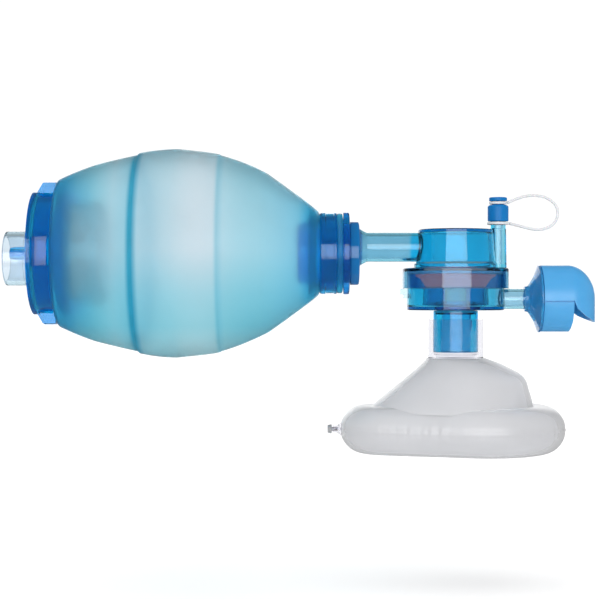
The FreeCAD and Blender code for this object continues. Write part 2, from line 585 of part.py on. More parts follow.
def exhaust_deflector():
    """Opaque hood that turns on the exhaust port and throws the breath downwards."""
    upper = rod_x(HOOD_R, HOOD_X, BEND_X, EXHAUST_Z).common(
        slab([(HOOD_X, PARTING_Z), (BEND_X, PARTING_Z), (BEND_X, 60), (HOOD_X, 60)]))
    lower = rod_x(HOOD_R - HOOD_STEP, HOOD_X, HOOD_END_X, EXHAUST_Z)
    lower = lower.cut(slab([(HOOD_END_X, PARTING_Z - 10), (HOOD_END_X - 1.2, 5), (HOOD_END_X + 3, 5)]))
    lower = lower.cut(slab([(BEND_X, PARTING_Z), (80, PARTING_Z), (80, 60), (BEND_X, 60)]))
    dome, skirt = beak(0.0)
    mouth = slab([(HOOD_END_X, PARTING_Z), (57.2, 21.4), (61.9, 17.6), (BEAK_X, BEAK_TIP_Z),
                  (BEAK_X + 5, BEAK_TIP_Z - 3), (BEAK_X + 5, -5), (HOOD_END_X, -5)])
    outer = fuse(upper, lower, dome, skirt.cut(mouth))
    inner_dome, inner_skirt = beak(HOOD_R - HOOD_BORE)
    low_bore = rod_x(HOOD_BORE, BEND_X, HOOD_END_X + 0.5, EXHAUST_Z).common(
        slab([(BEND_X - 1, PARTING_Z), (80, PARTING_Z), (80, 0), (BEND_X - 1, 0)]))
    bore = rod_x(HOOD_BORE, HOOD_X - 1, BEND_X, EXHAUST_Z)
    inner = bore.multiFuse([low_bore, inner_dome, inner_skirt])
    groove = box(HOOD_X - 1, HOOD_END_X, -HOOD_R - 1, HOOD_R + 1, PARTING_Z - GROOVE_WIDTH, PARTING_Z)
    groove = groove.cut(rod_x(HOOD_R - GROOVE_DEPTH, HOOD_X - 2, HOOD_END_X + 1, EXHAUST_Z))
    return outer.cut(inner).cut(groove)


# ---- pressure port cap and tether ---------------------------------------------------------------------
def port_cap():
    return lathe_z([
        (PORT_R + 0.06, CAP_FOOT_Z, 0.2), (CAP_R, CAP_FOOT_Z, 0.4), (CAP_R, CAP_TOP_Z - 0.6, 0.8),
        (CAP_R - 1.0, CAP_TOP_Z, 0.4), (CAP_NECK_R, CAP_TOP_Z, 0.2), (CAP_NECK_R, CAP_DISC_Z, 0.2),
        (CAP_DISC_R, CAP_DISC_Z, 0.3), (CAP_DISC_R, CAP_END_Z, 0.6), (0, CAP_END_Z - 0.4),
        (0, PORT_TOP_Z + PLAY), (PORT_R + 0.06, PORT_TOP_Z + PLAY, 0.3),
    ], PORT_X)


def tether_ring(inner, outer, z):
    half = TETHER_R - 0.05
    return lathe_z([
        (inner, z - half, 0.15), (outer, z - half, 0.4), (outer, z + half, 0.4), (inner, z + half, 0.15),
    ], PORT_X)


# Route of the tether's centreline (x, z) in the plane y = 0, from the cap's ring to the port's ring.
TETHER_ROUTE = [
    (PORT_X + 4.45, 73.0), (30.6, 75.6), (37.6, 77.0), (44.8, 75.8), (49.9, 71.6),
    (50.2, 65.4), (46.2, 60.9), (39.6, 59.6), (32.0, 61.6), (PORT_X + 5.45, 63.0),
]


def cap_tether():
    """Strand of the tether as a plain tube: straight runs joined by tangent arcs."""
    points = [V(x, 0, z) for x, z in TETHER_ROUTE]
    edges, at, radii = [], points[0], []
    for before, here, after in zip(points, points[1:], points[2:]):
        back, ahead = before - here, after - here
        turn_angle = math.pi - back.getAngle(ahead)
        reach = 0.45 * min(back.Length, ahead.Length)
        radius = reach / math.tan(turn_angle / 2)
        radii.append(radius)
        back.normalize()
        ahead.normalize()
        start, end = here + back * reach, here + ahead * reach
        middle = (back + ahead).normalize()
        centre = here + middle * (radius / math.cos(turn_angle / 2))
        edges.append(Part.makeLine(at, start))
        edges.append(Part.Arc(start, centre - middle * radius, end).toShape())
        at = end
    edges.append(Part.makeLine(at, points[-1]))
    path = Part.Wire(edges)
    first = (points[1] - points[0]).normalize()
    section = Part.Wire(Part.makeCircle(TETHER_R, points[0], first))
    tube = path.makePipeShell([section], True, False)
    expected = math.pi * TETHER_R ** 2 * path.Length
    print("tether length", round(path.Length, 2), "arc radii", [round(r, 1) for r in radii])
    print("tether volume", round(tube.Volume, 2), "expected", round(expected, 2))
    return tube


# ---- mask ---------------------------------------------------------------------------------------------
def mask_collar():
    """Hard socket of the mask, which pushes over the patient connector."""
    return lathe_z([
        (CONE_22 + GAP, MASK_COLLAR_TOP_Z, 0.3), (MASK_COLLAR_R, MASK_COLLAR_TOP_Z, 0.6),
        (MASK_COLLAR_R, MASK_COLLAR_FOOT_Z, 0.3), (9.8, MASK_COLLAR_FOOT_Z, 0.3), (9.8, -1.0, 0.4),
        (CONE_22 + GAP, -1.0),
    ])


def dome_section(z, left, right, half_width, taper, inset=0.0):
    """Closed smooth outline of the dome at height z; taper widens it towards the chin at +X."""
    middle, half = (left + right) / 2, (right - left) / 2 - inset
    width = half_width - inset
    points = []
    for i in range(16):
        angle = math.tau * i / 16
        y = width * math.sin(angle) * (1 + taper * math.cos(angle))
        points.append(V(middle + half * math.cos(angle), y, z))
    curve = Part.BSplineCurve()
    curve.interpolate(Points=points, PeriodicFlag=True)
    return Part.Wire(curve.toShape())


# Dome outline at each height: z, left end, right end, half width, taper.
DOME_SECTIONS = [
    (MASK_COLLAR_FOOT_Z - 0.1, -14.0, 14.6, 14.0, 0.0),
    (-6.0, -16.6, 22.6, 18.2, 0.02),
    (-11.0, -22.8, 32.4, 24.0, 0.06),
    (-18.0, -31.8, 35.8, 28.0, 0.12),
    (DOME_FOOT_Z, -41.2, 37.8, 30.5, 0.18),
]


def mask_dome():
    """Soft dome between the socket and the cushion."""
    outer = Part.makeLoft([dome_section(*s) for s in DOME_SECTIONS], True, False)
    inner_sections = [dome_section(*s, inset=DOME_WALL) for s in DOME_SECTIONS[1:]]
    inner_sections.insert(0, dome_section(MASK_COLLAR_FOOT_Z - 1.6, -12.6, 13.2, 12.6, 0.0))
    last = DOME_SECTIONS[-1]
    inner = Part.makeLoft(inner_sections, True, False)
    foot = Part.Face(dome_section(*last, inset=DOME_WALL)).extrude(V(0, 0, -2))
    socket = rod_z(9.8, MASK_COLLAR_FOOT_Z - 4, MASK_COLLAR_FOOT_Z + 2)
    return outer.cut(fuse(inner, foot)).cut(socket)


def mask_cushion():
    """Air cushion: a round tube that follows the mask's pear-shaped rim."""
    span = CHIN_X - NOSE_X
    lean = math.degrees(math.asin((CHIN_R - NOSE_R) / span))
    pieces = []
    for centre_x, radius, start, sweep in (
        (CHIN_X, CHIN_R, -90 - lean, 180 + 2 * lean), (NOSE_X, NOSE_R, 90 + lean, 180 - 2 * lean),
    ):
        circle = Part.makeCircle(CUSHION_R, V(centre_x + radius, 0, CUSHION_Z), V(0, 1, 0))
        arc = Part.Face(Part.Wire(circle)).revolve(V(centre_x, 0, 0), Z_DIR, sweep)
        arc.rotate(V(centre_x, 0, 0), Z_DIR, start)
        pieces.append(arc)
    along = V(-math.cos(math.radians(lean)), -math.sin(math.radians(lean)), 0)
    normal = V(-math.sin(math.radians(lean)), math.cos(math.radians(lean)), 0)
    length = span * math.cos(math.radians(lean))
    start = V(CHIN_X, 0, CUSHION_Z) + normal * CHIN_R
    side = Part.makeCylinder(CUSHION_R, length, start, along)
    pieces += [side, side.mirror(V(0, 0, 0), V(0, 1, 0))]
    return fuse(*pieces)


def inflation_nozzle(cushion):
    """Filling tube on the cushion's narrow end."""
    body = lathe_x([
        (NOZZLE_X, 1.0), (NOZZLE_X, NOZZLE_R, 0.3), (-57.8, NOZZLE_R, 1.0), (-56.4, 3.2), (-54.6, 3.6),
        (-54.6, 1.0),
    ], CUSHION_Z)
    return body.cut(cushion)


def inflation_stopper():
    """Small plug that closes the filling tube."""
    return lathe_x([
        (NOZZLE_X - 2.3, 0), (NOZZLE_X - 2.3, 1.9, 0.5), (NOZZLE_X - 0.3, 2.3, 0.3), (NOZZLE_X - 0.3, 0.94),
        (-57.6, 0.94, 0.2), (-57.6, 0),
    ], CUSHION_Z)


# ---- build --------------------------------------------------------------------------------------------
def build():
    cushion = mask_cushion()
    return {
        "bag_shell": bag_shell(),
        "rear_collar": rear_collar(),
        "rear_cap": rear_cap(),
        "rear_gasket": rear_gasket(),
        "reservoir_port": reservoir_port(),
        "oxygen_nipple": oxygen_nipple(),
        "intake_valve_body": intake_valve_body(),
        "intake_flap": intake_flap(),
        "neck_collar": neck_collar(),
        "neck_adapter": neck_adapter(),
        "neck_seal": neck_seal(),
        "valve_top": valve_top(),
        "housing_seal": housing_seal(),
        "duckbill_valve": duckbill_valve(),
        "valve_base": valve_base(),
        "lock_clip": lock_clip(),
        "patient_connector": patient_connector(),
        "connector_seal": connector_seal(),
        "exhaust_port": exhaust_port(),
        "exhaust_deflector": exhaust_deflector(),
        "port_cap": port_cap(),
        "tether_cap_ring": tether_ring(CAP_NECK_R + 0.05, CAP_DISC_R - 0.1, TETHER_RING_TOP_Z),
        "tether_port_ring": tether_ring(PORT_R + GAP, PORT_R + 1.6, TETHER_RING_FOOT_Z),
        "cap_tether": cap_tether(),
        "mask_collar": mask_collar(),
        "mask_dome": mask_dome(),
        "mask_cushion": cushion,
        "inflation_nozzle": inflation_nozzle(cushion),
        "inflation_stopper": inflation_stopper(),
    }


def main():
    os.makedirs("parts", exist_ok=True)
    for name, shape in build().items():
        solids = shape.Solids
        print(name, "solids", len(solids), "valid", shape.isValid(), "volume", round(shape.Volume, 1))
        body = solids[0] if len(solids) == 1 else Part.makeCompound(solids)
        body.exportStep("parts/" + name + ".step")


main()
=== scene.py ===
import math

import bpy
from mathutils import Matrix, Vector, noise


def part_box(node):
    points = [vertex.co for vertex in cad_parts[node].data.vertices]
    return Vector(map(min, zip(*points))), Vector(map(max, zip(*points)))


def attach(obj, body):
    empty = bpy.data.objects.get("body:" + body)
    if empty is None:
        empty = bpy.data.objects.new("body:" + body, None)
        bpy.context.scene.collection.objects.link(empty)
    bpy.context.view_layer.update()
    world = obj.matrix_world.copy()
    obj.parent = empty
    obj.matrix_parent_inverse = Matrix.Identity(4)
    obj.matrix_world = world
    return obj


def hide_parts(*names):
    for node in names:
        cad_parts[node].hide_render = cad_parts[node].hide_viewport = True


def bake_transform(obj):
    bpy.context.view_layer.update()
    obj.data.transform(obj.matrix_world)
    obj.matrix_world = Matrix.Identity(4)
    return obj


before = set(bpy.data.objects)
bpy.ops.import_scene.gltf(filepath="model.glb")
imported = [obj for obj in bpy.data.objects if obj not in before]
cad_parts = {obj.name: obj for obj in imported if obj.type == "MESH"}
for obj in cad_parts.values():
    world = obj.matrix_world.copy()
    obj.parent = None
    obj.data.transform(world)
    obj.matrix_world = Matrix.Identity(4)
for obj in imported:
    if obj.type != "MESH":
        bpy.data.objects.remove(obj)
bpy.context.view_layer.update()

MM = 0.001

# ---- places, in metres, taken from the CAD nodes ------------------------------------------------------
BAG_LOW, BAG_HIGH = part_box("bag_shell")
BAG_Z = (BAG_LOW.z + BAG_HIGH.z) / 2
CUSHION_LOW, CUSHION_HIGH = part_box("mask_cushion")
DOME_LOW, DOME_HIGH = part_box("mask_dome")
COLLAR_LOW, COLLAR_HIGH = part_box("mask_collar")
PORT_X = (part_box("port_cap")[0].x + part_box("port_cap")[1].x) / 2

# ---- camera, lights and floor -------------------------------------------------------------------------
CAMERA_PLACE = Vector((-0.0762, -0.8, 0.0255))
CAMERA_LENS = 98.0
CAMERA_SENSOR = 36.0
FLOOR_Z = -0.115
FLOOR_HALF = 40.0
HORIZON, HORIZON_TOP = 1.04, 0.25      # the surround's brightness, up to this height of the view's direction
ZENITH, ZENITH_FROM = 0.50, 0.70       # and from this height on
REFLECTED_SHARE = 0.2                  # what is left of the surround for glossy and refracted rays
SUN_STRENGTH = 1.3
SUN_WIDTH = math.radians(70)
SUN_TILT = (math.radians(12), math.radians(-8), 0)
LIGHTS_AIM = (-0.03, 0, 0.03)
LIGHT_BOUNCES = 24     # the neck and the rear have up to twenty clear surfaces one behind the other


def make_camera():
    camera = bpy.data.objects.new("camera", bpy.data.cameras.new("camera"))
    camera.data.lens = CAMERA_LENS
    camera.data.sensor_width = CAMERA_SENSOR
    camera.data.clip_start = 0.01
    camera.location = CAMERA_PLACE
    camera.rotation_euler = (math.radians(90), 0, 0)
    bpy.context.scene.collection.objects.link(camera)
    bpy.context.scene.camera = camera


def make_softbox(name, place, size, radiance, lights_surfaces=True, seen_through_glass=True):
    """Rectangular softbox of a set radiance, aimed at the object's middle.

    One that lights no surface shows only in reflections and, if it may, through the clear pieces."""
    light = bpy.data.lights.new(name, "AREA")
    light.shape = "RECTANGLE"
    light.size, light.size_y = size
    light.energy = radiance * math.pi * size[0] * size[1]
    lamp = bpy.data.objects.new(name, light)
    lamp.location = place
    lamp.rotation_euler = (Vector(LIGHTS_AIM) - Vector(place)).to_track_quat("-Z", "Y").to_euler()
    lamp.visible_camera = False
    lamp.visible_diffuse = lights_surfaces
    lamp.visible_transmission = seen_through_glass
    bpy.context.scene.collection.objects.link(lamp)


def make_world():
    """White surround at the horizon, dimmer overhead, and dimmer all round for glossy and refracted rays."""
    world = bpy.data.worlds.new("studio")
    bpy.context.scene.world = world
    world.use_nodes = True
    tree = world.node_tree
    direction = tree.nodes.new("ShaderNodeTexCoord").outputs["Generated"]
    split = tree.nodes.new("ShaderNodeSeparateXYZ")
    tree.links.new(direction, split.inputs["Vector"])
    spread = tree.nodes.new("ShaderNodeMapRange")
    spread.interpolation_type = "SMOOTHSTEP"
    spread.inputs["From Min"].default_value = HORIZON_TOP
    spread.inputs["From Max"].default_value = ZENITH_FROM
    spread.inputs["To Min"].default_value = HORIZON
    spread.inputs["To Max"].default_value = ZENITH
    tree.links.new(split.outputs["Z"], spread.inputs["Value"])
    path = tree.nodes.new("ShaderNodeLightPath")
    reflected = tree.nodes.new("ShaderNodeMath")
    reflected.operation = "GREATER_THAN"
    tree.links.new(path.outputs["Is Glossy Ray"], reflected.inputs[0])
    tree.links.new(path.outputs["Is Transmission Ray"], reflected.inputs[1])
    dimmer = tree.nodes.new("ShaderNodeMapRange")
    dimmer.inputs["To Min"].default_value = 1.0
    dimmer.inputs["To Max"].default_value = REFLECTED_SHARE
    tree.links.new(reflected.outputs["Value"], dimmer.inputs["Value"])
    strength = tree.nodes.new("ShaderNodeMath")
    strength.operation = "MULTIPLY"
    tree.links.new(spread.outputs["Result"], strength.inputs[0])
    tree.links.new(dimmer.outputs["Result"], strength.inputs[1])
    background = tree.nodes["Background"]
    background.inputs["Color"].default_value = (1.0, 1.0, 1.0, 1.0)
    tree.links.new(strength.outputs["Value"], background.inputs["Strength"])


def make_studio():
    """High-key studio: white surround, a wide soft sun overhead, and wide softboxes in front and behind."""
    make_world()
    scene = bpy.context.scene
    scene.view_settings.view_transform = "Standard"
    scene.cycles.max_bounces = LIGHT_BOUNCES
    scene.cycles.transmission_bounces = LIGHT_BOUNCES
    sun = bpy.data.objects.new("overhead_sun", bpy.data.lights.new("overhead_sun", "SUN"))
    sun.data.energy = SUN_STRENGTH
    sun.data.angle = SUN_WIDTH
    sun.rotation_euler = SUN_TILT
    sun.visible_glossy = False
    scene.collection.objects.link(sun)
    make_softbox("front_softbox", (-0.05, -0.95, 0.10), (1.1, 0.5), 0.7)
    make_softbox("front_reflector", (-0.05, -0.90, 0.10), (1.1, 0.7), 3.0, lights_surfaces=False)
    make_softbox("back_reflector", (-0.05, 1.05, 0.12), (1.1, 0.7), 1.2, lights_surfaces=False,
                 seen_through_glass=False)


def make_floor():
    mesh = bpy.data.meshes.new("floor")
    corners = [(x * FLOOR_HALF, y * FLOOR_HALF, FLOOR_Z) for x, y in ((-1, -1), (1, -1), (1, 1), (-1, 1))]
    mesh.from_pydata(corners, [], [(0, 1, 2, 3)])
    floor = bpy.data.objects.new("floor", mesh)
    bpy.context.scene.collection.objects.link(floor)
    shade = Shade("floor_paper", (0.92, 0.92, 0.92), roughness=1.0, Emission_Strength=0.2)
    shade.set("Specular IOR Level", 0.0)
    shade.set("Emission Color", (1.0, 1.0, 1.0, 1.0))
    shade.vary_colour((0.91, 0.91, 0.91), (0.93, 0.93, 0.93), 4.0)
    mesh.materials.append(shade.material)
    floor.visible_glossy = False


# ---- materials ----------------------------------------------------------------------------------------
NOISE_SPAN = (0.3, 0.7)     # nearly all of a noise texture's values lie in it
ZONE_END = 0.001            # how far a ramp goes on past its first and last places
BLACK = (0.0, 0.0, 0.0)
CYAN_ABSORPTION = (0.0, 0.80, 0.90)
BLUE_ABSORPTION = (0.0, 0.70, 0.88)
# blue of the clear plastics' glow: painted light, an emission that stands for light gathered in their walls
PAINTED_GLOW_BLUE = (0.0, 0.30, 0.80, 1.0)
WATER_WHITE = (0.90, 0.95, 0.98)
# paler blue of the pressure port and the exhaust duct: partly their own paler tint, partly a painted sheen of
# light from the right
PALE_BLUE_WITH_SHEEN = (0.70, 0.78, 0.87)
TUBE_BLUE = (0.56, 0.71, 0.82)
NECK_BLUE = (0.02, 0.56, 0.90)
RIM_BLUE = (0.56, 0.60, 0.78)
DISC_BLUE = (0.01, 0.22, 0.58)
ACRYLIC_IOR = 1.49
DISC_X, PAST_DISC_X = -0.0475, -0.0465     # the swivel disc's face, and where the tube's cone turns clear


class Shade:
    """A Principled material with helpers for the small variations that a moulded surface has."""

    def __init__(self, name, colour, roughness=0.4, **sockets):
        self.material = bpy.data.materials.new(name)
        self.material.use_nodes = True
        self.tree = self.material.node_tree
        self.surface = self.tree.nodes["Principled BSDF"]
        self.set("Base Color", (*colour, 1.0))
        self.set("Roughness", roughness)
        for socket, value in sockets.items():
            self.set(socket.replace("_", " "), value)
        self.place = self.tree.nodes.new("ShaderNodeTexCoord").outputs["Object"]

    def set(self, socket, value):
        self.surface.inputs[socket].default_value = value

    def link(self, source, socket):
        self.tree.links.new(source, self.surface.inputs[socket])

    def noise(self, scale, detail=3.0, stretch=None):
        """Noise texture of scale features per metre; stretch scales each axis first."""
        node = self.tree.nodes.new("ShaderNodeTexNoise")
        node.inputs["Scale"].default_value = scale
        node.inputs["Detail"].default_value = detail
        source = self.place
        if stretch:
            mapping = self.tree.nodes.new("ShaderNodeMapping")
            mapping.inputs["Scale"].default_value = stretch
            self.tree.links.new(self.place, mapping.inputs["Vector"])
            source = mapping.outputs["Vector"]
        self.tree.links.new(source, node.inputs["Vector"])
        return node.outputs["Fac"]

    def spread(self, source, source_range, result_range):
        """Value of source, moved from one range to another."""
        node = self.tree.nodes.new("ShaderNodeMapRange")
        node.inputs["From Min"].default_value, node.inputs["From Max"].default_value = source_range
        node.inputs["To Min"].default_value, node.inputs["To Max"].default_value = result_range
        self.tree.links.new(source, node.inputs["Value"])
        return node.outputs["Result"]

    def ramp(self, source, stops):
        """Colour ramp of source with (position, colour) stops."""
        node = self.tree.nodes.new("ShaderNodeValToRGB")
        elements = node.color_ramp.elements
        for _ in stops[2:]:
            elements.new(0.5)
        for element, (position, colour) in zip(elements, stops):
            element.position = position
            element.color = (*colour, 1.0)
        self.tree.links.new(source, node.inputs["Fac"])
        return node.outputs["Color"]

    def vary_colour(self, low, high, scale, stretch=None):
        """Links base colour between low and high, in soft patches."""
        self.link(self.ramp(self.noise(scale, stretch=stretch), [(0.35, low), (0.65, high)]), "Base Color")

    def vary_roughness(self, low, high, scale):
        """Links roughness between low and high, in soft patches."""
        self.link(self.spread(self.noise(scale), NOISE_SPAN, (low, high)), "Roughness")

    def levels(self, axis, stops):
        """Single value by the place along an axis, from (place in metres, value) stops."""
        return self.zones(axis, [(place, (value, value, value)) for place, value in stops])

    def end_frost(self, stops):
        """Roughness by the place along X, from (place, roughness) stops, slightly uneven."""
        grey = self.levels("X", stops)
        uneven = self.spread(self.noise(260.0), NOISE_SPAN, (0.9, 1.1))
        scaled = self.tree.nodes.new("ShaderNodeMath")
        scaled.operation = "MULTIPLY"
        self.tree.links.new(grey, scaled.inputs[0])
        self.tree.links.new(uneven, scaled.inputs[1])
        self.link(scaled.outputs["Value"], "Roughness")

    def bump(self, scale, depth, detail=3.0):
        """Unevenness of the surface, depth metres deep."""
        node = self.tree.nodes.new("ShaderNodeBump")
        node.inputs["Strength"].default_value = 1.0
        node.inputs["Distance"].default_value = depth
        self.tree.links.new(self.noise(scale, detail), node.inputs["Height"])
        self.link(node.outputs["Normal"], "Normal")

    def zones(self, axis, stops):
        """Colour by the place along an axis, from (place in metres, colour) stops."""
        split = self.tree.nodes.new("ShaderNodeSeparateXYZ")
        self.tree.links.new(self.place, split.inputs["Vector"])
        low, high = stops[0][0] - ZONE_END, stops[-1][0] + ZONE_END
        along = self.spread(split.outputs[axis], (low, high), (0.0, 1.0))
        return self.ramp(along, [((place - low) / (high - low), colour) for place, colour in stops])

    def mix(self, first, second, blend):
        """Two colours combined, such as LIGHTEN, which keeps the paler of the two."""
        node = self.tree.nodes.new("ShaderNodeMixRGB")
        node.blend_type = blend
        node.inputs["Fac"].default_value = 1.0
        self.tree.links.new(first, node.inputs["Color1"])
        self.tree.links.new(second, node.inputs["Color2"])
        return node.outputs["Color"]

    def cloud(self, colour, scale, depth):
        """Links colour, darkened in soft patches by up to depth, to the base colour."""
        shade = self.spread(self.noise(scale), NOISE_SPAN, (1.0 - depth, 1.0))
        scaled = self.tree.nodes.new("ShaderNodeVectorMath")
        scaled.operation = "SCALE"
        self.tree.links.new(colour, scaled.inputs[0])
        self.tree.links.new(shade, scaled.inputs["Scale"])
        self.link(scaled.outputs["Vector"], "Base Color")

    def absorb(self, colour, density):
        """Volume absorption: density per metre where the colour is black, none where it is white."""
        node = self.tree.nodes.new("ShaderNodeVolumeAbsorption")
        node.inputs["Color"].default_value = (*colour, 1.0)
        node.inputs["Density"].default_value = density
        output = self.tree.nodes["Material Output"]
        self.tree.links.new(node.outputs["Volume"], output.inputs["Volume"])


def mould_finish(shade):
    """Slight waviness and uneven polish of a clear moulding."""
    shade.vary_roughness(0.02, 0.07, 180.0)
    shade.bump(70.0, 0.08 * MM, detail=2.0)
    return shade.material


def clear_plastic(name, tint, absorption, density, body=0.0, gloss=0.5, glow=0.0):
    """Moulded clear plastic, deeper in colour where the light's path in it is longer.

    body is its milkiness, and glow is painted light: a blue emission that stands for the light its walls
    gather and give off."""
    shade = Shade(name, tint, Transmission_Weight=1.0 - body, IOR=ACRYLIC_IOR, Emission_Strength=glow)
    shade.set("Specular IOR Level", gloss)
    shade.set("Emission Color", PAINTED_GLOW_BLUE)
    shade.vary_colour(tuple(c * 0.93 for c in tint), tint, 55.0)
    shade.absorb(absorption, density)
    return mould_finish(shade)


def zoned_plastic(name, blue, density, colour_of):
    """Clear blue moulding whose tint changes with the place, as colour_of(shade) says."""
    shade = Shade(name, blue, Transmission_Weight=1.0, IOR=ACRYLIC_IOR)
    shade.cloud(colour_of(shade), 70.0, 0.08)
    shade.absorb(CYAN_ABSORPTION, density)
    return shade


def connector_plastic():
    """Blue of the patient connector; its inner tube, up inside the housing, is almost clear."""
    blue = (0.13, 0.63, 0.85)

    def colour_of(shade):
        return shade.zones("Z", [(0.0215, blue), (0.0230, WATER_WHITE)])

    return mould_finish(zoned_plastic("connector_blue", blue, 200.0, colour_of))


def chamber_plastic():
    """Blue of the valve's upper half; the inlet tube and the thin skirt are paler, and the pressure port
    paler still, partly its own tint and partly a painted sheen of light from the right.

    The disc at the inlet tube's far end is deep blue and milky."""
    blue = (0.13, 0.65, 0.86)

    def colour_of(shade):
        across = shade.zones("X", [
            (DISC_X, DISC_BLUE), (-0.0455, TUBE_BLUE), (-0.0228, TUBE_BLUE), (-0.0212, blue),
            (0.0175, blue), (0.0195, PALE_BLUE_WITH_SHEEN),
        ])
        above_skirt = shade.levels("Z", [(0.0410, 0.0), (0.0416, 1.0)])
        on_disc = shade.levels("X", [(DISC_X, 1.0), (PAST_DISC_X, 0.0)])
        skirt = shade.zones("Z", [(0.0407, RIM_BLUE), (0.0420, BLACK)])
        off_disc = shade.levels("X", [(DISC_X, 0.0), (PAST_DISC_X, 1.0)])
        upper = shade.mix(across, shade.mix(above_skirt, on_disc, "LIGHTEN"), "MULTIPLY")
        return shade.mix(upper, shade.mix(skirt, off_disc, "MULTIPLY"), "LIGHTEN")

    shade = zoned_plastic("valve_top_blue", blue, 240.0, colour_of)
    shade.link(shade.levels("X", [(DISC_X, 0.30), (PAST_DISC_X, 1.0)]), "Transmission Weight")
    return mould_finish(shade)


def housing_plastic():
    """Blue of the valve's lower housing; the rim under the skirt is paler, and the exhaust duct is paler,
    partly its own tint and partly a painted sheen of light from the right.
    """
    blue = (0.20, 0.68, 0.86)

    def colour_of(shade):
        across = shade.zones("X", [(0.0165, blue), (0.0195, PALE_BLUE_WITH_SHEEN)])
        rim = shade.zones("Z", [(0.0310, BLACK), (0.0322, RIM_BLUE)])
        return shade.mix(across, rim, "LIGHTEN")

    return mould_finish(zoned_plastic("valve_base_blue", blue, 240.0, colour_of))


def silicone(name, low, high, glow=0.0):
    """Soft moulded silicone; glow is painted light, an emission in its paler colour that stands for the light
    that gathers inside it.
    """
    shade = Shade(name, low, Subsurface_Weight=0.25, Subsurface_Scale=0.002, Emission_Strength=glow)
    shade.set("Emission Color", (*high, 1.0))
    shade.set("Subsurface Radius", (1.0, 0.5, 0.4))
    shade.vary_colour(low, high, 90.0)
    shade.vary_roughness(0.42, 0.58, 400.0)
    shade.bump(900.0, 0.02 * MM)
    return shade.material


def opaque_plastic(name, low, high, roughness, gloss=0.5):
    """Satin moulded plastic with faint flow lines and an uneven polish."""
    shade = Shade(name, low, Subsurface_Weight=0.08, Subsurface_Scale=0.001)
    shade.set("Specular IOR Level", gloss)
    shade.vary_colour(low, high, 35.0, stretch=(1.0, 1.0, 2.5))
    shade.vary_roughness(roughness * 0.8, roughness * 1.25, 140.0)
    shade.bump(1400.0, 0.012 * MM)
    return shade.material


def frosted_bag():
    """Frosted silicone: greyer on the grip band, teal on the shoulders and in the steps beside the band.

    It is deeper and a little clearer at both ends, over the fittings inside it; painted shade makes it deeper
    teal on its lower side and painted light whiter towards its top."""
    shoulder, band, step = (0.80, 0.86, 0.90), (0.94, 0.90, 0.92), (0.10, 0.52, 0.68)
    stops = [
        (-0.1935, (0.10, 0.64, 0.90)), (-0.1885, (0.18, 0.68, 0.89)), (-0.1820, (0.52, 0.80, 0.88)),
        (-0.1740, (0.66, 0.84, 0.89)), (-0.1640, shoulder),
        (BAND_REAR_X - 0.0024, (0.60, 0.80, 0.87)), (BAND_REAR_X - 0.0008, step),
        (BAND_REAR_X + 0.0010, step), (BAND_REAR_X + 0.0036, band),
        (BAND_FRONT_X - 0.0010, band), (BAND_FRONT_X + 0.0004, (0.54, 0.76, 0.84)),
        (BAND_FRONT_X + 0.0034, (0.84, 0.89, 0.92)), (-0.0960, (0.78, 0.88, 0.92)),
        (-0.0770, (0.50, 0.80, 0.91)), (-0.0710, (0.10, 0.67, 0.90)),
    ]
    # painted light and shade by height: deeper teal below the middle, whiter towards the top
    painted_light_by_height = [
        (BAG_LOW.z + 0.006, (0.86, 1.0, 1.0)), (BAG_LOW.z + 0.016, (0.66, 0.93, 0.96)),
        (BAG_Z - 0.020, (0.74, 0.94, 0.97)), (BAG_Z, (0.96, 0.99, 1.0)), (BAG_HIGH.z, (1.0, 1.0, 1.0)),
    ]
    shade = Shade("bag_frosted_silicone", shoulder, Transmission_Weight=0.90, IOR=1.22)
    shade.cloud(shade.mix(shade.zones("X", stops), shade.zones("Z", painted_light_by_height), "MULTIPLY"), 28.0, 0.06)
    shade.end_frost([(-0.1920, 0.32), (-0.1740, 0.37), (-0.0860, 0.37), (-0.0690, 0.32)])
    shade.bump(1500.0, 0.012 * MM)
    shade.absorb((0.0, 0.74, 0.85), 110.0)
    return shade.material


def mask_vinyl(name, roughness, tint, transmission, glow=0.0, coat=0.0):
    """Frosted clear vinyl; glow is painted light, an emission that stands for the light that scatters through
    the film.
    """
    shade = Shade(name, tint, Transmission_Weight=transmission, IOR=1.09, Emission_Strength=glow)
    shade.set("Coat Weight", coat)
    shade.set("Coat Roughness", 0.36)
    shade.set("Emission Color", (0.95, 0.96, 1.0, 1.0))
    shade.vary_colour(tuple(c * 0.95 for c in tint), tint, 30.0)
    shade.vary_roughness(roughness * 0.85, roughness * 1.2, 150.0)
    shade.bump(45.0, 0.15 * MM, detail=2.0)
    shade.absorb((0.80, 0.82, 0.86), 20.0)
    return shade.material


